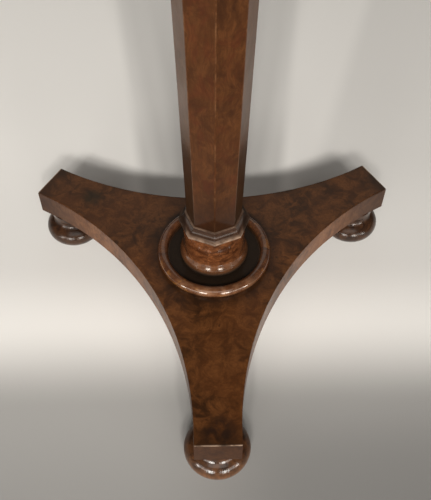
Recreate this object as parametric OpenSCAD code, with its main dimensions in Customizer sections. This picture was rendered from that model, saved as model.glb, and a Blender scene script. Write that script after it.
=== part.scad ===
// Occasional table: a round veneered top on an octagonal column that widens upwards,
// over a turned boss and ring, on a three-lobed platform with concave sides and bun feet.
// Millimetres. Z is up, the floor is z = 0, and the origin lies under the column's axis.
// The front lobe points along -Y, and so does one arris of the column.

/* [Table] */
// Height of the table, floor to top
table_h = 720; // [660:1:780]
// Diameter of the round top, over its edge moulding
top_d = 540; // [490:1:620]
// Thickness of the top, veneer included
top_t = 20; // [16:0.5:28]
// Width of the turned lipping round the top
lipping_w = 10; // [7:0.5:16]
// How far the lipping's half-round nose stands out from its square steps
nose_out = 6; // [3:0.5:6.5]
// Width of the cross-grained band inside the lipping
crossband_w = 28; // [12:1:50]
// Thickness of every veneer
veneer_t = 1.2; // [0.8:0.1:2]

/* [Top block] */
// Width of the octagonal block under the top, corner to corner
block_w = 176; // [130:1:240]
// Thickness of the block
block_t = 22; // [18:1:30]
// Chamfer round the block's lower edge
block_chamfer = 8; // [3:0.5:12]
// Number of screws that hold the block to the top
screw_count = 4; // [3:1:6]
// Radius of the circle that the screws stand on
screw_ring_r = 66; // [58:1:72]
// Diameter of a screw's shank
screw_d = 4.4; // [3:0.1:6]
// Diameter of a screw's head
screw_head_d = 9; // [8:0.5:11]
// Length of a screw
screw_len = 32; // [29:1:34]

/* [Column] */
// Width of the column at its foot, corner to corner
column_foot_w = 59; // [52:0.5:64]
// Width of the column at its head, corner to corner
column_head_w = 81; // [60:0.5:90]
// Radius that eases the column's arrises
arris_r = 2; // [0.5:0.25:4]
// Diameter of the tenons at the column's ends
tenon_d = 28; // [20:1:32]
// Width of the wedge that spreads the lower tenon
wedge_w = 3.2; // [2:0.1:5]
// Depth of the wedge
wedge_h = 26; // [16:1:30]

/* [Collars] */
// Height of the collar at the column's foot
collar_h = 12; // [9:0.5:16]
// Width of that collar, corner to corner
collar_w = 77.5; // [74:0.5:86]
// Height of the collar at the column's head
head_collar_h = 18; // [12:0.5:26]
// How far the head collar stands out from the column
head_collar_out = 12; // [6:0.5:18]
// Height of the square fillets that edge both collars and the lipping
fillet_h = 2.25; // [1:0.25:3]
// Chamfer that eases the collars' sharp edges
edge_ease = 0.5; // [0.2:0.1:0.8]
// Depth of the hollow between a collar's fillets
hollow_depth = 1; // [0.4:0.1:1.6]
// Step between the column and a collar's inner fillet
fillet_step = 2.2; // [1:0.1:3]

/* [Turned boss and ring] */
// Height of the turned boss between its dish and the collar
boss_h = 55; // [44:1:70]
// Diameter of the boss at its fullest
boss_d = 76; // [70:1:84]
// Diameter of the boss where it stands on its dish
boss_foot_d = 73; // [66:1:75]
// Diameter of the boss's straight wall, up to the collar
boss_neck_d = 67; // [60:0.5:67.5]
// Height of the boss's fullest part above its foot
boss_full_h = 5; // [4:0.5:9]
// Height over which the boss flares out to its fullest part
flare_h = 13; // [10:1:24]
// Outer diameter of the ring round the boss
ring_d = 127; // [121:1:140]
// Thickness of the ring, which is round in section
ring_t = 12; // [8:0.5:15]
// Depth of the flat that the ring stands on
ring_flat = 1; // [0.5:0.1:2]
// Thickness of the dish inside the ring, which the boss stands on
dish_t = 4; // [3:0.5:5]

/* [Platform] */
// Distance from the column's axis to the end of a lobe
lobe_reach = 230; // [215:1:242]
// Width of a lobe at its end
lobe_w = 46.5; // [42:0.5:56]
// Straight stretch at a lobe's end, before the concave side begins
lobe_straight = 8; // [4:0.5:20]
// Thickness of the platform, veneer included
platform_t = 32; // [28:0.5:40]

/* [Feet] */
// Height of a foot, floor to platform
foot_h = 49; // [44:1:62]
// Height of the foot's flattened bun
bun_h = 34; // [26:1:38]
// Diameter of a bun foot
foot_d = 69; // [54:1:74]
// Diameter of the flat that a bun foot stands on
foot_flat_d = 34; // [24:1:40]
// Diameter of the round pad between the bun and the platform
pad_d = 49; // [42:1:52]
// Thickness of the pad
pad_t = 6; // [4:0.5:8]
// Depth of the hollow neck under the pad
neck_depth = 3; // [1:0.5:4]
// Distance from a lobe's end in to its foot's axis
foot_inset = 27; // [22:1:38]
// Diameter of the spigot that holds a foot
spigot_d = 18; // [12:1:22]
// Length of the spigot
spigot_len = 20; // [12:1:22]

/* [Hidden] */

lobes = 3;
facets = 8;
quarters = 4;
lobe_step = 360 / lobes;
facet_step = 360 / facets;
front = -90;
glue_gap = 0.1;
hole_spare = 2;
curve_steps = 28;
hollow_steps = 8;
arris_steps = 3;
$fn = 96;

// Heights of the seats, from the floor up
platform_top = foot_h + platform_t;
core_top = platform_top - veneer_t;
boss_z = platform_top + dish_t;
collar_z = boss_z + boss_h;
column_z = collar_z + collar_h;
table_under = table_h - top_t;
block_z = table_under - block_t;
head_z = block_z - head_collar_h;
column_len = head_z - column_z;

// The concave sides are arcs that leave the straight lobe sides at a tangent
lobe_half = lobe_w / 2;
arc_start = lobe_reach - lobe_straight;
bay_r = (arc_start * sin(lobe_step / 2) - lobe_half * cos(lobe_step / 2)) / sin(lobe_step / 4);
bay_centre = arc_start * cos(lobe_step / 2) + lobe_half * sin(lobe_step / 2)
    + bay_r * cos(lobe_step / 4);

foot_reach = lobe_reach - foot_inset;
foot_r = foot_d / 2;
foot_flat_r = foot_flat_d / 2;
foot_bulge = (bun_h / 2) / sqrt(1 - pow(foot_flat_r / foot_r, 2));
pad_r = pad_d / 2;
neck_z = bun_h / 2 + foot_bulge * sqrt(1 - pow(pad_r / foot_r, 2));
core_foot_r = column_foot_w / 2 - veneer_t / cos(facet_step / 2);
core_head_r = column_head_w / 2 - veneer_t / cos(facet_step / 2);
collar_r = collar_w / 2;
collar_seat_r = column_foot_w / 2 + fillet_step;
head_collar_seat_r = column_head_w / 2 + fillet_step;
head_collar_r = head_collar_seat_r + head_collar_out;
ring_centre_r = (ring_d - ring_t) / 2;
tenon_hole_r = tenon_d / 2 + glue_gap;
core_disc_r = top_d / 2 - lipping_w;
panel_r = core_disc_r - crossband_w;
head_drop = (screw_head_d - screw_d) / 2;

// Radius of a foot's bun at height z: an ellipse that is cut flat where it stands
function bun_r(z) = foot_r * sqrt(1 - pow((z - bun_h / 2) / foot_bulge, 2));

// Radius of the boss at height z: a quarter ellipse below its fullest part, an ogee above it
function boss_r(z) = z < boss_full_h
    ? (boss_foot_d + (boss_d - boss_foot_d) * sqrt(1 - pow(1 - z / boss_full_h, 2))) / 2
    : (boss_neck_d + (boss_d - boss_neck_d)
        * (1 + cos(180 * (z - boss_full_h) / flare_h)) / 2) / 2;

// Shallow hollow from [r1, z1] to [r2, z2], sunk to the left of that line by depth
function hollow(r1, z1, r2, z2, depth) =
    let (run = [r2 - r1, z2 - z1], side = [-run[1], run[0]] / norm(run))
    [for (i = [0:hollow_steps]) let (t = i / hollow_steps)
        [r1, z1] + t * run + 4 * t * (1 - t) * depth * side];

// Point at a distance from the axis, in the direction of an angle
function polar(r, angle) = [r * cos(angle), r * sin(angle)];

// A point on a lobe, as a distance along it and a distance across it
function on_lobe(angle, along, across) = [along * cos(angle) - across * sin(angle),
    along * sin(angle) + across * cos(angle)];

// Plan of the platform, with its sides moved in by inset and its lobes cut at reach
module platform_plan(inset, reach) {
    difference() {
        polygon([for (i = [0:lobes - 1], side = [-1, 1])
            on_lobe(front + i * lobe_step, arc_start, side * (lobe_half + lobe_straight))]);
        for (i = [0:lobes - 1])
            rotate(front + (i + 0.5) * lobe_step) translate([bay_centre, 0])
                circle(r = bay_r + inset, $fn = 256);
    }
    for (i = [0:lobes - 1])
        rotate(front + i * lobe_step) translate([arc_start, inset - lobe_half])
            square([reach - arc_start, 2 * (lobe_half - inset)]);
}

// Foot: a flattened bun, a hollow neck, a pad under the platform and a spigot into it
module bun_foot(index) {
    rotate(front + index * lobe_step) translate([foot_reach, 0, 0]) color("#4a2a1c") {
        rotate_extrude() polygon(concat([[0, 0]],
            [for (i = [0:curve_steps - 1]) let (z = neck_z * i / curve_steps) [bun_r(z), z]],
            hollow(pad_r, neck_z, pad_r, foot_h - pad_t, neck_depth),
            [[pad_r, foot_h], [0, foot_h]]));
        translate([0, 0, foot_h]) cylinder(d = spigot_d, h = spigot_len);
    }
}

module platform_core() {
    color("#5b3423") difference() {
        translate([0, 0, foot_h]) linear_extrude(platform_t - veneer_t)
            platform_plan(veneer_t, lobe_reach - veneer_t);
        translate([0, 0, foot_h - 1]) cylinder(r = tenon_hole_r, h = platform_t + 2);
        for (i = [0:lobes - 1])
            rotate(front + i * lobe_step) translate([foot_reach, 0, foot_h - 1])
                cylinder(d = spigot_d + 2 * glue_gap, h = spigot_len + hole_spare + 1);
    }
}

module platform_top_veneer() {
    color("#6b3f26") difference() {
        translate([0, 0, core_top]) linear_extrude(veneer_t) platform_plan(0, lobe_reach);
        translate([0, 0, core_top - 1]) cylinder(r = tenon_hole_r, h = veneer_t + 2);
    }
}

// Veneer on one concave side, with the short straight stretches at both its ends
module platform_edge(index) {
    color("#8a6a50") translate([0, 0, foot_h]) linear_extrude(platform_t - veneer_t)
        intersection() {
            difference() {
                platform_plan(0, lobe_reach - veneer_t);
                platform_plan(veneer_t, lobe_reach + 1);
            }
            polygon(concat([[0, 0]], [for (k = [0:2])
                on_lobe(front + (index + k / 2) * lobe_step, 2 * lobe_reach, 0)]));
        }
}

module platform_end(index) {
    color("#7a553d") rotate(front + index * lobe_step)
        translate([lobe_reach - veneer_t, -lobe_half, foot_h])
            cube([veneer_t, lobe_w, platform_t - veneer_t]);
}

// Half-sunk ring round a shallow dish, with the column's tenon through its middle
module base_ring() {
    color("#7d4526") translate([0, 0, platform_top]) rotate_extrude() difference() {
        union() {
            translate([ring_centre_r, ring_t / 2 - ring_flat]) circle(d = ring_t, $fn = 48);
            translate([tenon_hole_r, 0]) square([ring_centre_r - tenon_hole_r, dish_t]);
        }
        translate([0, -ring_t]) square([ring_d, ring_t]);
    }
}

module turned_boss() {
    color("#7a3f22") translate([0, 0, boss_z]) difference() {
        rotate_extrude() polygon(concat([[0, 0]],
            [for (i = [0:curve_steps]) let (z = boss_full_h * (1 - cos(90 * i / curve_steps)))
                [boss_r(z), z]],
            [for (i = [1:curve_steps]) let (z = boss_full_h + flare_h * i / curve_steps)
                [boss_r(z), z]],
            [[boss_neck_d / 2, boss_h], [0, boss_h]]));
        translate([0, 0, -1]) cylinder(r = tenon_hole_r, h = boss_h + 2);
    }
}

// Octagonal collar: an outer fillet, a shallow hollow, and a fillet round the column
module lower_collar() {
    color("#6d4a3a") translate([0, 0, collar_z]) difference() {
        rotate_extrude($fn = facets) polygon(concat(
            [[0, 0], [collar_r, 0], [collar_r, fillet_h - edge_ease]],
            hollow(collar_r - edge_ease, fillet_h, collar_seat_r, collar_h - fillet_h,
                hollow_depth),
            [[collar_seat_r, collar_h - edge_ease], [collar_seat_r - edge_ease, collar_h],
                [0, collar_h]]));
        translate([0, 0, -1]) cylinder(r = tenon_hole_r, h = collar_h + 2);
    }
}

// The same mouldings turned over, flaring out to meet the block
module upper_collar() {
    color("#6d4a3a") translate([0, 0, head_z]) difference() {
        rotate_extrude($fn = facets) polygon(concat(
            [[0, 0], [head_collar_seat_r - edge_ease, 0], [head_collar_seat_r, edge_ease]],
            hollow(head_collar_seat_r, fillet_h, head_collar_r - edge_ease,
                head_collar_h - fillet_h, hollow_depth),
            [[head_collar_r, head_collar_h - fillet_h + edge_ease],
                [head_collar_r, head_collar_h], [0, head_collar_h]]));
        translate([0, 0, -1]) cylinder(r = tenon_hole_r, h = head_collar_h + 2);
    }
}

// Solid octagonal post with a round tenon at each end, the lower one slotted for its wedge
module column_core() {
    lower_tenon = column_z - foot_h;
    upper_tenon = head_collar_h + block_t - hole_spare;
    color("#5b3423") difference() {
        union() {
            translate([0, 0, column_z])
                cylinder(r1 = core_foot_r, r2 = core_head_r, h = column_len, $fn = facets);
            translate([0, 0, foot_h]) cylinder(d = tenon_d, h = lower_tenon);
            translate([0, 0, head_z]) cylinder(d = tenon_d, h = upper_tenon);
        }
        translate([-tenon_d, -wedge_w / 2, foot_h - 1])
            cube([2 * tenon_d, wedge_w, wedge_h + 1]);
    }
}

// Outline of one face's veneer where the column is corner_r to its arrises: the eased
// arris at angle 0, the face, the eased arris at facet_step, then the back of the veneer
function facet_outline(corner_r, core_r) =
    let (half = facet_step / 2, centre_r = corner_r - arris_r / cos(half))
    concat(
        [for (k = [0:arris_steps])
            polar(centre_r, 0) + polar(arris_r, half * k / arris_steps)],
        [for (k = [0:arris_steps])
            polar(centre_r, facet_step) + polar(arris_r, half * (1 + k / arris_steps))],
        [polar(core_r, facet_step), polar(core_r, 0)]);

// Veneer on one face of the column, mitred against its neighbours at the arrises
module column_facet(index) {
    foot = facet_outline(column_foot_w / 2, core_foot_r);
    head = facet_outline(column_head_w / 2, core_head_r);
    count = len(foot);
    color("#7b4a2b") rotate(front + index * facet_step) polyhedron(
        points = concat([for (p = foot) [p[0], p[1], column_z]],
            [for (p = head) [p[0], p[1], head_z]]),
        faces = concat([[for (i = [0:count - 1]) i]], [[for (i = [0:count - 1]) 2 * count - 1 - i]],
            [for (i = [0:count - 1]) let (j = (i + 1) % count) [i, count + i, count + j, j]]));
}

module tenon_wedge() {
    color("#a77f55") intersection() {
        translate([-tenon_d, -wedge_w / 2, foot_h]) cube([2 * tenon_d, wedge_w, wedge_h]);
        translate([0, 0, foot_h]) cylinder(d = tenon_d, h = wedge_h);
    }
}

// Places its children at each screw, head end down
module at_screws() {
    for (i = [0:screw_count - 1])
        rotate(45 + i * 360 / screw_count) translate([screw_ring_r, 0, block_z]) children();
}

module screw_shape(spare) {
    shank_d = screw_d + 2 * spare;
    translate([0, 0, -spare]) cylinder(d1 = screw_head_d + 2 * spare, d2 = shank_d,
        h = head_drop + spare, $fn = 32);
    cylinder(d = shank_d, h = screw_len + spare, $fn = 32);
}

module top_block() {
    block_r = block_w / 2;
    color("#5b3423") difference() {
        translate([0, 0, block_z]) rotate_extrude($fn = facets) polygon([[0, 0],
            [block_r - block_chamfer, 0], [block_r, block_chamfer], [block_r, block_t],
            [0, block_t]]);
        translate([0, 0, block_z - 1])
            cylinder(r = tenon_hole_r, h = block_t + 2);
        at_screws() screw_shape(glue_gap);
    }
}

module block_screws() {
    color("#b08d4a") at_screws() difference() {
        screw_shape(0);
        translate([-screw_head_d, -0.5, -1]) cube([2 * screw_head_d, 1, 2]);
    }
}

module tabletop_core() {
    color("#5b3423") difference() {
        translate([0, 0, table_under]) cylinder(r = core_disc_r, h = top_t - veneer_t, $fn = 256);
        at_screws() screw_shape(glue_gap);
    }
}

module tabletop_veneer(index) {
    color("#7b4a2b") translate([0, 0, table_h - veneer_t]) rotate(index * 360 / quarters)
        rotate_extrude(angle = 360 / quarters, $fn = 256) square([panel_r, veneer_t]);
}

module tabletop_crossbanding() {
    color("#6b3f26") translate([0, 0, table_h - veneer_t]) rotate_extrude($fn = 256)
        translate([panel_r, 0]) square([crossband_w, veneer_t]);
}

// Turned lipping with a half-round nose between two small square steps
module tabletop_edge_moulding() {
    nose_r = (top_t - 2 * fillet_h) / 2;
    color("#7d4526") translate([0, 0, table_under]) rotate_extrude($fn = 256)
        translate([core_disc_r, 0]) polygon(concat([[0, 0], [lipping_w - nose_out, 0]],
            [for (i = [0:curve_steps]) let (a = -90 + 180 * i / curve_steps)
                [lipping_w - nose_out + nose_out * cos(a), top_t / 2 + nose_r * sin(a)]],
            [[lipping_w - nose_out, top_t], [0, top_t]]));
}

bun_foot(0);  // bun_foot_front
bun_foot(1);  // bun_foot_right
bun_foot(2);  // bun_foot_left
platform_core();
platform_top_veneer();
platform_edge(0);  // platform_edge_right
platform_edge(1);  // platform_edge_back
platform_edge(2);  // platform_edge_left
platform_end(0);  // platform_end_front
platform_end(1);  // platform_end_right
platform_end(2);  // platform_end_left
base_ring();
turned_boss();
lower_collar();
column_core();
column_facet(0);  // column_facet_1
column_facet(1);  // column_facet_2
column_facet(2);  // column_facet_3
column_facet(3);  // column_facet_4
column_facet(4);  // column_facet_5
column_facet(5);  // column_facet_6
column_facet(6);  // column_facet_7
column_facet(7);  // column_facet_8
tenon_wedge();
upper_collar();
top_block();
block_screws();
tabletop_core();
tabletop_veneer(0);  // tabletop_veneer_1
tabletop_veneer(1);  // tabletop_veneer_2
tabletop_veneer(2);  // tabletop_veneer_3
tabletop_veneer(3);  // tabletop_veneer_4
tabletop_crossbanding();
tabletop_edge_moulding();
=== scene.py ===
# Occasional table: finishes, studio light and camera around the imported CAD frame
import math

import bpy
from mathutils import Matrix, Vector


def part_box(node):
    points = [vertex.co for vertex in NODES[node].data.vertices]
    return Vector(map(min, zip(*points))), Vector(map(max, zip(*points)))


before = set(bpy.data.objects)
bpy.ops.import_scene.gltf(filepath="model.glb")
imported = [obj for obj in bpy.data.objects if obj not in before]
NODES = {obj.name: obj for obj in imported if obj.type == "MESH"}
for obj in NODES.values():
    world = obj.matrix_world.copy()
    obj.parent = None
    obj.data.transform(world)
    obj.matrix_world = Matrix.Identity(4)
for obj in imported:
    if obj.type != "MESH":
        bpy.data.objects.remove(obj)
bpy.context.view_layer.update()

# Lengths are in metres, and small ones are written in millimetres
MM = 0.001

# Photograph's frame, in pixels
IMAGE_W = 431
IMAGE_H = 500

# Camera, in metres and degrees; the focal length is in the photograph's pixels
CAMERA_AT = Vector((-0.0104, -0.5093, 0.7349))
CAMERA_TURN = 1.356
CAMERA_DOWN = 51.887
CAMERA_ROLL = 0.371
FOCAL_PX = 733.1
SENSOR_MM = 36.0

# Nodes, and those that share a finish
COLUMN_LEAVES = ["column_facet_%d" % k for k in range(1, 9)]
TOP_QUARTERS = ["tabletop_veneer_%d" % k for k in range(1, 5)]
EDGE_VENEERS = ["platform_edge_right", "platform_edge_back", "platform_edge_left"]
END_VENEERS = ["platform_end_front", "platform_end_right", "platform_end_left"]
BACK_FEET = ["bun_foot_right", "bun_foot_left"]
CARCASE = ["platform_core", "column_core", "top_block", "tabletop_core"]

# Directions of the lobes and of one of the column's faces, in degrees
LOBE_ANGLES = (-90, 30, 150)
FACE_ANGLE = 22.5

# Thickness of the ring, which is round in section
RING_T = 12 * MM

# Levels and radii that the wear and the painted light and shade keep to, from the frame
COLUMN_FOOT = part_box("column_facet_1")[0].z
COLUMN_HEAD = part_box("column_facet_1")[1].z
BOSS_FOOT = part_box("turned_boss")[0].z
PLATFORM_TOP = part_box("platform_top_veneer")[1].z
LOBE_REACH = -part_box("platform_top_veneer")[0].y
RING_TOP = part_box("base_ring")[1].z
RING_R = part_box("base_ring")[1].x
RING_CREST_R = RING_R - RING_T / 2
CHANNEL_R = RING_R - RING_T

# Radii that ease worn edges
COLLAR_EASE = 0.7 * MM
PLATFORM_EASE = 0.9 * MM

# How far each leaf of veneer moves its figure, so that no leaf repeats its neighbour
COLUMN_LEAF_SHIFT = 0.37
TOP_LEAF_SHIFT = 0.11

# Where the turned wood's figure is cut from, so that its darkest eyes miss the boss's front
TURNED_SHIFT = (0.031, 0.012, 0.017)

# Depth that a bump of full strength stands for
GRAIN_DEPTH = 0.3 * MM
SCRATCH_DEPTH = 0.6 * MM


def srgb(red, green, blue):
    """Linear colour from a 0 to 255 display colour."""
    def channel(value):
        v = value / 255
        return v / 12.92 if v <= 0.04045 else ((v + 0.055) / 1.055) ** 2.4
    return (channel(red), channel(green), channel(blue), 1.0)


# Dark, middle and light colour of each burr
COLUMN_WOOD = (srgb(48, 26, 12), srgb(64, 36, 16), srgb(84, 50, 25))
PLATFORM_WOOD = (srgb(42, 24, 11), srgb(73, 41, 19), srgb(107, 65, 33))
EDGE_WOOD = (srgb(58, 34, 20), srgb(96, 59, 35), srgb(127, 85, 53))
BASE_WOOD = (srgb(50, 26, 13), srgb(86, 47, 25), srgb(124, 75, 43))
FOOT_WOOD = (srgb(26, 14, 8), srgb(52, 30, 16), srgb(88, 55, 31))
COLLAR_WOOD = (srgb(26, 15, 9), srgb(44, 27, 17), srgb(62, 40, 28))
MOULDING_WOOD = (srgb(44, 23, 12), srgb(74, 41, 21), srgb(102, 61, 33))
QUARTER_WOOD = (srgb(52, 28, 13), srgb(80, 46, 22), srgb(108, 67, 36))
BANDING_WOOD = (srgb(38, 21, 11), srgb(58, 33, 17), srgb(80, 49, 27))

# Dark and light colour of each plain wood
CARCASE_WOOD = (srgb(70, 42, 26), srgb(112, 74, 48))
WEDGE_WOOD = (srgb(128, 92, 58), srgb(176, 136, 92))

# Tint of the wood's own gloss, under its polish
GLOSS_TINT = (1.0, 0.80, 0.60, 1.0)

# Floor and world
FLOOR_SIZE = 14
FLOOR_CENTRE = (0, 2.0, -0.2 * MM)
FLOOR_COLOUR = (0.865, 0.840, 0.798)
WORLD_COLOUR = srgb(214, 209, 203)
WORLD_STRENGTH = 0.12

# What every lamp looks at, and its colour
AIM = (0, 0, 0.1)
WARM_WHITE = (1.0, 0.975, 0.94)

# Key lamps: angles to the right of the front, height angle, distance, size and power
KEY_TURNS = (-10.8, -4.5, 4.5, 10.8)
KEY_RISE = 37
KEY_DISTANCE = 7.0
KEY_SIZE = (0.4, 0.4)
KEY_POWER = 128

# Pairs of lamps: name, angle to either side, height angle, distance, size and power
WINDOW_PAIRS = (
    ("window", 18, 11.3, 3.0, (0.62, 0.72), 21),
    ("far_window", 52, 9, 3.0, (0.35, 0.6), 9),
    ("wide_window", 35, 14, 3.1, (1.5, 0.6), 9),
)


class Graph:
    """Short calls that add and join the nodes of one material."""

    def __init__(self, name):
        self.material = bpy.data.materials.new(name)
        self.material.use_nodes = True
        self.tree = self.material.node_tree
        self.shader = self.tree.nodes["Principled BSDF"]

    def add(self, kind, **settings):
        node = self.tree.nodes.new(kind)
        for key, value in settings.items():
            setattr(node, key, value)
        return node

    def put(self, socket, value):
        """Gives a socket a plain value, or joins another node's output to it."""
        if isinstance(value, bpy.types.NodeSocket):
            self.tree.links.new(value, socket)
        else:
            socket.default_value = value

    def set(self, name, value):
        """Puts a value on one of the shader's own sockets."""
        self.put(self.shader.inputs[name], value)

    def math(self, operation, a, b=0.0):
        node = self.add("ShaderNodeMath", operation=operation)
        self.put(node.inputs[0], a)
        self.put(node.inputs[1], b)
        return node.outputs[0]

    def product(self, first, *others):
        total = first
        for value in others:
            total = self.math("MULTIPLY", total, value)
        return total

    def less(self, *shares):
        """One, less the product of the shares."""
        return self.math("SUBTRACT", 1.0, self.product(*shares))

    def vector(self, operation, a, b=(0, 0, 0)):
        node = self.add("ShaderNodeVectorMath", operation=operation)
        self.put(node.inputs[0], a)
        self.put(node.inputs["Scale" if operation == "SCALE" else 1], b)
        return node.outputs[0]

    def place(self):
        return self.add("ShaderNodeTexCoord").outputs["Object"]

    def split(self, at):
        """X, Y and Z of a place or direction."""
        node = self.add("ShaderNodeSeparateXYZ")
        self.put(node.inputs[0], at)
        return node.outputs[:]

    def noise(self, at, scale, detail=3.0, rough=0.5, distortion=0.0, output="Fac"):
        node = self.add("ShaderNodeTexNoise")
        self.put(node.inputs["Vector"], at)
        self.put(node.inputs["Scale"], scale)
        self.put(node.inputs["Detail"], detail)
        self.put(node.inputs["Roughness"], rough)
        self.put(node.inputs["Distortion"], distortion)
        return node.outputs[output]

    def cells(self, at, scale):
        """Distance from the nearest of many scattered points."""
        node = self.add("ShaderNodeTexVoronoi")
        self.put(node.inputs["Vector"], at)
        self.put(node.inputs["Scale"], scale)
        return node.outputs["Distance"]

    def ramp(self, value, low, high, at_low=0.0, at_high=1.0):
        """Turns smoothly from at_low to at_high while the value goes from low to high."""
        node = self.add("ShaderNodeMapRange", interpolation_type="SMOOTHSTEP")
        self.put(node.inputs["Value"], value)
        self.put(node.inputs["From Min"], low)
        self.put(node.inputs["From Max"], high)
        self.put(node.inputs["To Min"], at_low)
        self.put(node.inputs["To Max"], at_high)
        return node.outputs["Result"]

    def between(self, mask, outside, inside):
        """One number outside a mask and another inside it."""
        return self.ramp(mask, 0.0, 1.0, outside, inside)

    def ragged(self, value, at, scale, width):
        """The value with noise added, so that a ramp of it has an uneven edge."""
        return self.math("ADD", value, self.product(self.noise(at, scale), width))

    def mix(self, share, a, b):
        node = self.add("ShaderNodeMix", data_type="RGBA")
        self.put(node.inputs["Factor"], share)
        self.put(node.inputs[6], a)
        self.put(node.inputs[7], b)
        return node.outputs[2]

    def bump(self, height, strength, depth, shader_input="Normal"):
        node = self.add("ShaderNodeBump")
        self.put(node.inputs["Strength"], strength)
        self.put(node.inputs["Distance"], depth)
        self.put(node.inputs["Height"], height)
        self.set(shader_input, node.outputs["Normal"])


def axis_distance(g, x, y):
    """Distance from the column's axis."""
    return g.math("SQRT", g.math("ADD", g.product(x, x), g.product(y, y)))


def lobe_distance(g, x, y):
    """Distance from the column's axis along whichever lobe is nearest."""
    farthest = None
    for angle in LOBE_ANGLES:
        turn = math.radians(angle)
        along = g.math("ADD", g.product(x, math.cos(turn)), g.product(y, math.sin(turn)))
        farthest = g.math("MAXIMUM", farthest, along) if farthest else along
    return farthest


def spot(g, at, centre, radius, soft):
    """One inside a round patch, nothing outside it."""
    away = g.add("ShaderNodeVectorMath", operation="DISTANCE")
    g.put(away.inputs[0], at)
    g.put(away.inputs[1], centre)
    return g.ramp(away.outputs["Value"], radius - soft, radius + soft, 1.0, 0.0)


def burr(g, at, wood, size=1.0, streak=0.5, eye=0.6):
    """Burr figure: soft clouds, mottling, fine streaks and small dark eyes.

    Size scales the whole figure, and streak and eye say how far those show.
    Returns the colour and the height of the grain.
    """
    dark, middle, light = wood
    drift = g.vector("SUBTRACT", g.noise(at, 30 / size, output="Color"), (0.5, 0.5, 0.5))
    bent = g.vector("ADD", at, g.vector("SCALE", drift, 22 * MM * size))
    clouds = g.ramp(g.noise(bent, 16 / size), 0.36, 0.64)
    mottle = g.noise(bent, 75 / size, detail=5.0, rough=0.62, distortion=0.6)
    mottle = g.ramp(mottle, 0.34, 0.68)
    drawn_out = g.vector("MULTIPLY", bent, (1.0, 1.0, 0.14))
    streaks = g.ramp(g.noise(drawn_out, 480 / size, rough=0.6), 0.36, 0.66)
    eyes = g.ramp(g.cells(bent, 150 / size), 0.12, 0.36, 1.0, 0.0)
    eye_groups = g.ramp(g.noise(at, 38 / size, detail=2.0), 0.52, 0.66)
    colour = g.mix(clouds, dark, middle)
    colour = g.mix(g.product(mottle, 0.75), colour, light)
    colour = g.mix(g.product(streaks, streak), colour, g.mix(0.5, dark, middle))
    colour = g.mix(g.product(eyes, eye_groups, eye), colour, dark)
    return colour, g.math("ADD", g.product(mottle, 0.5), g.product(streaks, 0.5))


def turned_burr(g, wood):
    """Burr figure of a turned piece, with its faint grain."""
    shifted = g.vector("ADD", g.place(), TURNED_SHIFT)
    at = g.vector("MULTIPLY", shifted, (1.0, 1.0, 1.5))
    colour, height = burr(g, at, wood, size=0.8, streak=0.3, eye=0.4)
    g.bump(height, 0.04, GRAIN_DEPTH)
    return colour


def haze(g, rough, spread=0.08):
    """Roughness that drifts softly about a middle value."""
    return g.ramp(g.noise(g.place(), 22), 0.3, 0.7, rough - spread, rough + spread)


def polish(g, colour, rough, coat, coat_rough, body=0.05, coat_ior=1.45):
    """French polish: a clear coat over the wood, whose own gloss is the body."""
    g.set("Base Color", colour)
    g.set("Roughness", rough)
    g.set("Specular IOR Level", body)
    g.set("Specular Tint", GLOSS_TINT)
    g.set("Coat Weight", coat)
    g.set("Coat Roughness", coat_rough)
    g.set("Coat IOR", coat_ior)


def face_distance(level):
    """Distance from the axis to the column's flat faces, at the level of one of its ends."""
    turn = math.radians(FACE_ANGLE)
    outward = Vector((math.cos(turn), math.sin(turn), 0))
    points = [vertex.co for name in COLUMN_LEAVES for vertex in NODES[name].data.vertices]
    return max(point.dot(outward) for point in points if abs(point.z - level) < 0.1 * MM)


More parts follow.
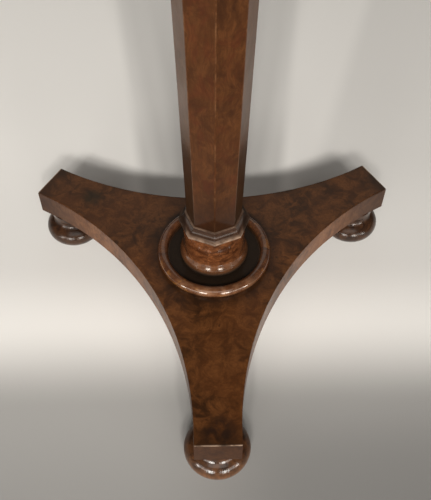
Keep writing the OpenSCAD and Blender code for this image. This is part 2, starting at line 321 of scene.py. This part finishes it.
def column_material():
    """Veneer of the column, each leaf cut from another place in the burr.

    It is worn pale along the arrises, partly a painted highlight, and darker towards its foot above
    the collar. The leaves at the sides carry a painted sheen, and painted shade near their foot.
    """
    red_patch = srgb(72, 33, 17)
    pale_wear_and_sheen = srgb(146, 108, 74)
    near_black = srgb(33, 18, 10)
    # Painted sheen and painted shade of the side leaves, standing in for their reflections of the
    # floor and the platform
    painted_sheen = srgb(112, 78, 46)
    painted_shade = srgb(28, 15, 8)
    g = Graph("column_burr_veneer")
    place = g.place()
    x, y, z = g.split(place)

    outward = g.add("ShaderNodeNewGeometry").outputs["True Normal"]
    leaf = g.vector("SCALE", outward, COLUMN_LEAF_SHIFT)
    at = g.vector("ADD", g.vector("MULTIPLY", place, (1.0, 1.0, 0.8)), leaf)
    colour, height = burr(g, at, COLUMN_WOOD, streak=0.6)
    patches = g.noise(at, 48, detail=4.0, rough=0.6, distortion=0.5)
    colour = g.mix(g.ramp(patches, 0.50, 0.66, 0.0, 0.40), colour, red_patch)

    # The axis is 1.08 times as far from an arris as from the faces beside it
    foot_face = face_distance(COLUMN_FOOT)
    taper = (face_distance(COLUMN_HEAD) - foot_face) / (COLUMN_HEAD - COLUMN_FOOT)
    face = g.math("ADD", g.product(z, taper), foot_face - taper * COLUMN_FOOT)
    arris = g.ramp(g.math("DIVIDE", axis_distance(g, x, y), face), 1.070, 1.078)
    # Pale along the arrises: wear and a painted highlight
    wear_and_sheen = g.ramp(g.noise(place, 110, detail=4.0, rough=0.6), 0.40, 0.70)
    colour = g.mix(g.product(arris, wear_and_sheen, 0.24), colour, pale_wear_and_sheen)

    # Darker towards the column's foot above the collar
    level = g.ragged(z, place, 60, 20 * MM)
    foot_darkening = g.ramp(level, COLUMN_FOOT + 6 * MM, COLUMN_FOOT + 83 * MM, 0.82, 0.0)
    colour = g.mix(foot_darkening, colour, near_black)

    # Painted sheen on the side leaves, and painted shade on them near their foot
    side = g.ramp(g.math("DIVIDE", g.math("ABSOLUTE", x), face), 0.74, 0.79)
    low = g.ramp(z, COLUMN_FOOT + 88 * MM, COLUMN_FOOT + 122 * MM, 1.0, 0.0)
    low_side = g.product(side, low)
    colour = g.mix(g.product(side, 0.22), colour, painted_sheen)
    colour = g.mix(g.product(low_side, 0.60), colour, painted_shade)

    coat = g.between(low_side, 0.38, 0.12)
    polish(g, colour, rough=haze(g, 0.42), coat=coat, coat_rough=0.06)
    g.bump(height, 0.14, GRAIN_DEPTH)
    return g.material


def platform_material():
    """Veneer of the platform's top.

    It is handled dark at the lobes' ends and has painted shade towards the back. It is darker
    round the ring, and has a pale worn rim with a painted highlight at each end, a small stain on
    the left lobe and a smudge on the front one.
    """
    handled = srgb(24, 15, 9)
    painted_shade = srgb(38, 29, 22)
    near_black = srgb(24, 14, 9)
    stained = srgb(34, 28, 18)
    pale_wear_and_sheen = srgb(178, 152, 130)
    smudged = srgb(26, 18, 14)
    stain_at = (-145 * MM, 87 * MM, PLATFORM_TOP)
    smudge_at = (1 * MM, -LOBE_REACH + 14 * MM, PLATFORM_TOP)
    g = Graph("platform_burr_veneer")
    place = g.place()
    x, y, z = g.split(place)
    reach = axis_distance(g, x, y)
    colour, height = burr(g, place, PLATFORM_WOOD, size=1.1, streak=0.45)

    end = g.ragged(reach, place, 40, 30 * MM)
    end = g.ramp(end, LOBE_REACH - 14 * MM, LOBE_REACH + 22 * MM, 0.0, 0.68)
    colour = g.mix(end, colour, handled)
    # Painted shade towards the back
    colour = g.mix(g.ramp(y, -30 * MM, 50 * MM, 0.0, 0.30), colour, painted_shade)

    # Darker round the ring's foot
    halo = g.ragged(reach, place, 60, 6 * MM)
    halo = g.ramp(halo, RING_R + 3 * MM, RING_R + 21.5 * MM, 0.66, 0.0)
    colour = g.mix(halo, colour, near_black)

    stain = spot(g, place, stain_at, radius=11 * MM, soft=6 * MM)
    colour = g.mix(g.product(stain, 0.7), colour, stained)

    # Pale rim at each end: wear and a painted highlight
    rim = g.ramp(lobe_distance(g, x, y), LOBE_REACH - 1.5 * MM, LOBE_REACH - 0.4 * MM)
    rim = g.product(rim, g.ramp(g.noise(place, 70), 0.36, 0.56, 0.20, 0.70))
    colour = g.mix(rim, colour, pale_wear_and_sheen)

    smudge = spot(g, place, smudge_at, radius=15 * MM, soft=10 * MM)
    smudge = g.product(smudge, g.ramp(g.noise(place, 90), 0.35, 0.60))
    colour = g.mix(g.product(smudge, 0.8), colour, smudged)

    polish(g, colour, rough=haze(g, 0.46), coat=0.42, coat_rough=0.20, body=0.2)
    g.bump(height, 0.12, GRAIN_DEPTH)
    return g.material


def edge_material():
    """Veneer of the platform's sides, darker with handling towards the lobes' ends."""
    g = Graph("platform_edge_veneer")
    place = g.place()
    x, y, z = g.split(place)
    colour, height = burr(g, place, EDGE_WOOD, size=0.9)
    handled = lobe_distance(g, x, y)
    handled = g.ramp(handled, LOBE_REACH - 105 * MM, LOBE_REACH - 10 * MM, 0.0, 0.78)
    colour = g.mix(handled, colour, srgb(34, 19, 12))
    polish(g, colour, rough=haze(g, 0.40), coat=0.35, coat_rough=0.20)
    g.bump(height, 0.10, GRAIN_DEPTH)
    return g.material


def top_material(name, wood, size):
    """Veneer of the table's top with an even polish, each quarter from its own leaf."""
    g = Graph(name)
    place = g.place()
    leaf = g.vector("SCALE", g.vector("SIGN", place), TOP_LEAF_SHIFT)
    colour, height = burr(g, g.vector("ADD", place, leaf), wood, size=size)
    polish(g, colour, rough=haze(g, 0.42), coat=0.45, coat_rough=0.12)
    g.bump(height, 0.08, GRAIN_DEPTH)
    return g.material


def moulding_material():
    """Turned wood of the top's moulding, fully polished."""
    g = Graph("moulding_rosewood")
    colour = turned_burr(g, MOULDING_WOOD)
    rough = haze(g, 0.30, spread=0.05)
    polish(g, colour, rough, coat=1.0, coat_rough=0.09, body=0.6, coat_ior=1.6)
    return g.material


def base_material():
    """Turned wood of the boss and the ring.

    It is bright on their rounds, nearly black with painted shade in the channel between them,
    darker low on the boss, and pale on the front of the ring with a painted sheen, partly wear.
    """
    dark_patch = srgb(40, 20, 12)
    ring_stain = srgb(46, 24, 12)
    yellow_patch = srgb(134, 88, 38)
    grey_brown = srgb(58, 40, 26)
    near_black = srgb(20, 14, 9)
    pale_wear_and_sheen = srgb(156, 116, 86)
    g = Graph("turned_rosewood")
    place = g.place()
    x, y, z = g.split(place)
    reach = axis_distance(g, x, y)
    ring = g.ramp(reach, CHANNEL_R - 1.5 * MM, CHANNEL_R + 1.5 * MM)
    inside = g.ramp(reach, CHANNEL_R - 1.5 * MM, CHANNEL_R + 2 * MM, 1.0, 0.0)
    # Painted shade in the channel between the boss and the ring
    channel_shade = g.product(inside, g.ramp(z, BOSS_FOOT + 2.5 * MM, BOSS_FOOT + 9.5 * MM, 1.0, 0.0))

    patches = g.noise(place, 62, detail=4.0, rough=0.65, distortion=0.8)
    yellowed = g.product(ring, g.ramp(patches, 0.55, 0.66, 0.0, 0.42))
    colour = turned_burr(g, BASE_WOOD)
    colour = g.mix(g.ramp(patches, 0.34, 0.43, 0.45, 0.0), colour, dark_patch)
    colour = g.mix(g.product(ring, 0.50), colour, ring_stain)
    colour = g.mix(yellowed, colour, yellow_patch)

    # Darker low on the boss, next to the ring
    boss_low_darkening = g.product(inside, g.ramp(z, RING_TOP, RING_TOP + 16 * MM, 0.60, 0.0))
    colour = g.mix(boss_low_darkening, colour, grey_brown)
    # Painted shade: the channel is painted nearly black
    colour = g.mix(g.product(channel_shade, 0.96), colour, near_black)

    # Painted sheen on the front of the ring, partly wear
    wear_and_sheen = g.product(g.ramp(reach, RING_CREST_R - 3 * MM, RING_CREST_R),
                       g.ramp(y, -64 * MM, -30 * MM, 0.36, 0.0))
    unevenly = g.noise(place, 75, detail=4.0, rough=0.6)
    wear_and_sheen = g.product(wear_and_sheen, g.ramp(unevenly, 0.36, 0.62, 0.15, 1.0))
    colour = g.mix(wear_and_sheen, colour, pale_wear_and_sheen)

    rough = g.between(channel_shade, 0.15, 0.80)
    coat = g.between(channel_shade, 1.0, 0.1)
    polish(g, colour, rough, coat, coat_rough=0.09, body=0.6, coat_ior=1.6)
    return g.material


def foot_material(name, full_coat, coat_rough, front):
    """Dark polished bun, whose polish has gone dull away from the front.

    The front foot is painted paler under its round, as a reflection of the floor, and the back
    feet have painted shade all over.
    """
    pale_wear_and_sheen = srgb(140, 92, 54)
    painted_back_shade = srgb(24, 13, 8)
    g = Graph(name)
    place = g.place()
    x, y, z = g.split(place)
    scratches_at = g.vector("MULTIPLY", place, (1.0, 0.12, 0.12))
    scratches = g.noise(scratches_at, 420, rough=0.6)
    colour = turned_burr(g, FOOT_WOOD)
    if front:
        # Painted reflection of the floor under the front foot's round
        wear_and_sheen = g.ramp(g.ragged(z, place, 70, 12 * MM), 18 * MM, 34 * MM, 0.50, 0.0)
        wear_and_sheen = g.product(wear_and_sheen, g.ramp(scratches, 0.36, 0.62, 0.45, 1.0))
        colour = g.mix(wear_and_sheen, colour, pale_wear_and_sheen)
    else:
        # Painted shade on the back feet
        colour = g.mix(0.45, colour, painted_back_shade)
    facing = g.split(g.add("ShaderNodeNewGeometry").outputs["Normal"])
    coat = g.ramp(facing[1], -0.50, -0.05, full_coat, full_coat * 0.18)
    rough = haze(g, 0.30, spread=0.05)
    polish(g, colour, rough, coat, coat_rough, body=0.15, coat_ior=1.6)
    g.bump(scratches, 0.32, SCRATCH_DEPTH, "Coat Normal")
    return g.material


def collar_material(node):
    """Dark collar, polished on its front facets, with painted shade on its side facets and a painted
    highlight, partly wear, along its lower and upper rims.
    """
    dull = srgb(22, 14, 10)
    pale_wear_and_sheen = srgb(152, 126, 106)
    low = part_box(node)[0].z
    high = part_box(node)[1].z
    g = Graph(node + "_polished")
    place = g.place()
    x, y, z = g.split(place)
    # Painted shade on the side facets
    front = g.ramp(g.math("ABSOLUTE", x), 28.5 * MM, 31.5 * MM, 1.0, 0.0)
    colour = g.mix(g.between(front, 0.6, 0.0), turned_burr(g, COLLAR_WOOD), dull)
    # Painted highlight along the rims, partly wear
    lower_rim = g.product(g.ramp(z, low + 1.6 * MM, low + 4.8 * MM, 0.85, 0.0),
                          g.between(front, 0.15, 1.0))
    upper_rim = g.ramp(z, high - 0.7 * MM, high - 0.2 * MM, 0.0, 0.45)
    unevenly = g.ramp(g.noise(place, 60, detail=4.0, rough=0.6), 0.38, 0.60, 0.25, 0.85)
    wear_and_sheen = g.product(g.math("ADD", lower_rim, upper_rim), unevenly)
    colour = g.mix(wear_and_sheen, colour, pale_wear_and_sheen)
    rough = g.between(front, 0.75, 0.30)
    coat = g.between(front, 0.05, 0.6)
    polish(g, colour, rough, coat, coat_rough=0.13, body=0.15, coat_ior=1.5)
    return g.material


def straight_grain(name, wood, along):
    """Plain wood without a coat, with its grain along one axis."""
    dark, light = wood
    g = Graph(name)
    at = g.vector("MULTIPLY", g.place(), [0.06 if axis == along else 1.0 for axis in "xyz"])
    bands = g.ramp(g.noise(at, 150, detail=4.0, rough=0.6, distortion=0.4), 0.35, 0.68)
    pores = g.ramp(g.noise(at, 900, detail=2.0), 0.52, 0.68)
    colour = g.mix(g.product(pores, 0.5), g.mix(bands, dark, light), dark)
    polish(g, colour, rough=haze(g, 0.60), coat=0.0, coat_rough=0.25)
    g.bump(pores, 0.15, GRAIN_DEPTH)
    return g.material


def brass_material():
    """Dull brass of the screws."""
    g = Graph("screw_brass")
    tarnish = g.ramp(g.noise(g.place(), 300), 0.35, 0.70)
    g.set("Base Color", g.mix(tarnish, srgb(150, 118, 62), srgb(96, 74, 42)))
    g.set("Roughness", g.between(tarnish, 0.30, 0.55))
    g.set("Metallic", 1.0)
    return g.material


def finish(names, material):
    """Gives nodes one material in place of the one that they came with."""
    for name in names:
        slots = NODES[name].data.materials
        slots.clear()
        slots.append(material)


def ease_edges(name, radius):
    """Rounds a CAD node's sharp edges by a modifier, so that they catch the light."""
    piece = NODES[name]
    weld = piece.modifiers.new("weld", "WELD")
    weld.merge_threshold = 0.01 * MM
    bevel = piece.modifiers.new("eased_edges", "BEVEL")
    bevel.width = radius
    bevel.segments = 3
    bevel.limit_method = "ANGLE"
    bevel.angle_limit = math.radians(30)
    piece.modifiers.new("normals", "WEIGHTED_NORMAL")


def dress():
    """Finishes every node, and eases the two whose edges are worn."""
    finish(COLUMN_LEAVES, column_material())
    finish(["platform_top_veneer"], platform_material())
    finish(EDGE_VENEERS + END_VENEERS, edge_material())
    finish(["base_ring", "turned_boss"], base_material())
    finish(["tabletop_edge_moulding"], moulding_material())
    finish(["bun_foot_front"], foot_material("turned_dark_front", 1.0, 0.14, front=True))
    finish(BACK_FEET, foot_material("turned_dark_back", 0.6, 0.19, front=False))
    for collar in ("lower_collar", "upper_collar"):
        finish([collar], collar_material(collar))
    finish(CARCASE, straight_grain("carcase_wood", CARCASE_WOOD, "x"))
    finish(["tenon_wedge"], straight_grain("wedge_wood", WEDGE_WOOD, "z"))
    finish(["block_screws"], brass_material())
    finish(TOP_QUARTERS, top_material("top_quarter_veneer", QUARTER_WOOD, size=1.4))
    finish(["tabletop_crossbanding"], top_material("crossbanding_veneer", BANDING_WOOD, size=0.9))
    ease_edges("platform_top_veneer", PLATFORM_EASE)
    ease_edges("lower_collar", COLLAR_EASE)


def floor_material():
    """Pale ground, with painted light and shade in its tone."""
    g = Graph("pale_floor")
    x, y, z = g.split(g.add("ShaderNodeNewGeometry").outputs["Position"])

    # Painted light and shade from the front to the back: darker near the front, then a bright band,
    # dimmer behind it and brighter again further back
    nearest = g.ramp(y, -0.30, -0.12, 0.76, 1.0)
    near = g.ramp(y, -0.150, -0.040, 0.43, 1.0)
    middle = g.ramp(y, -0.04, 0.05, 1.0, 0.85)
    far = g.ramp(y, 0.05, 0.30, 1.0, 1.13)

    # Painted shade towards the right, in the corner at the front right, and past a slanting line at
    # the back
    right = g.ramp(x, -0.05, 0.30, 1.0, 0.90)
    corner = g.product(g.ramp(y, -0.22, -0.09, 1.0, 0.0), g.ramp(x, -0.09, 0.09))
    past_slant = g.math("SUBTRACT", x, g.product(y, 0.33))
    far_right = g.product(g.ramp(past_slant, 0.060, 0.095), g.ramp(y, 0.10, 0.25))

    # Shade behind the column, which widens and fades away from it
    past_edge = g.math("SUBTRACT", g.math("ABSOLUTE", x), g.product(y, 0.142))
    shade = g.product(g.ramp(past_edge, 0.058, 0.080, 1.0, 0.0), g.ramp(y, 0.08, 0.16))
    shade_depth = g.ramp(y, 0.23, 0.37, 0.30, 0.12)

    tone = g.product(nearest, near, middle, far, right, g.less(corner, 0.28),
                     g.less(far_right, 0.12), g.less(shade, shade_depth))
    g.set("Base Color", g.vector("SCALE", FLOOR_COLOUR, tone))
    g.set("Roughness", 0.9)
    g.set("Specular IOR Level", 0.2)
    return g.material


def add_floor():
    """A wide floor just under the feet."""
    bpy.ops.mesh.primitive_plane_add(size=FLOOR_SIZE, location=FLOOR_CENTRE)
    floor = bpy.context.active_object
    floor.name = "studio_floor"
    floor.data.materials.append(floor_material())


def add_world():
    """A dim pale world, which fills the shadows."""
    world = bpy.data.worlds.new("studio_world")
    world.use_nodes = True
    background = world.node_tree.nodes["Background"]
    background.inputs["Color"].default_value = WORLD_COLOUR
    background.inputs["Strength"].default_value = WORLD_STRENGTH
    bpy.context.scene.world = world


def from_side(turn, rise, distance):
    """Place at an angle to the right of the front, a height angle and a distance."""
    turn = math.radians(turn)
    rise = math.radians(rise)
    return (math.sin(turn) * math.cos(rise) * distance,
            -math.cos(turn) * math.cos(rise) * distance,
            math.sin(rise) * distance)


def area_light(name, at, size, power):
    """A rectangular lamp that looks at the foot of the table."""
    data = bpy.data.lights.new(name, "AREA")
    data.shape = "RECTANGLE"
    data.size, data.size_y = size
    data.energy = power
    data.color = WARM_WHITE
    lamp = bpy.data.objects.new(name, data)
    bpy.context.scene.collection.objects.link(lamp)
    lamp.location = at
    lamp.rotation_euler = (Vector(AIM) - Vector(at)).to_track_quat("-Z", "Y").to_euler()
    return lamp


def add_lights():
    """Far keys that cast the shadows, and windows, a wall and a ceiling that the polish reflects."""
    for number, turn in enumerate(KEY_TURNS, 1):
        at = from_side(turn, KEY_RISE, KEY_DISTANCE)
        key = area_light("key_%d" % number, at, KEY_SIZE, KEY_POWER)
        key.visible_glossy = False
    for name, turn, rise, distance, size, power in WINDOW_PAIRS:
        area_light(name + "_left", from_side(-turn, rise, distance), size, power)
        area_light(name + "_right", from_side(turn, rise, distance), size, power)
    area_light("back_wall", (0, 2.4, 2.3), size=(3.2, 1.6), power=5)
    area_light("ceiling", from_side(0, 48, 3.0), size=(2.6, 1.3), power=13)


def add_camera():
    """The camera of the photograph, as fitted to it."""
    data = bpy.data.cameras.new("photo_camera")
    data.sensor_width = SENSOR_MM
    data.lens = FOCAL_PX / max(IMAGE_W, IMAGE_H) * SENSOR_MM
    eye = bpy.data.objects.new("photo_camera", data)
    bpy.context.scene.collection.objects.link(eye)
    turn = math.radians(CAMERA_TURN)
    down = math.radians(CAMERA_DOWN)
    roll = math.radians(CAMERA_ROLL)
    forward = Vector((math.sin(turn) * math.cos(down),
                      math.cos(turn) * math.cos(down),
                      -math.sin(down)))
    level = Vector((math.cos(turn), -math.sin(turn), 0))
    upward = level.cross(forward)
    right = math.cos(roll) * level + math.sin(roll) * upward
    up = math.cos(roll) * upward - math.sin(roll) * level
    axes = Matrix((right, up, -forward)).transposed()
    eye.matrix_world = Matrix.Translation(CAMERA_AT) @ axes.to_4x4()
    bpy.context.scene.camera = eye


add_camera()
dress()
add_floor()
add_world()
add_lights()
bpy.context.scene.view_settings.view_transform = "Standard"
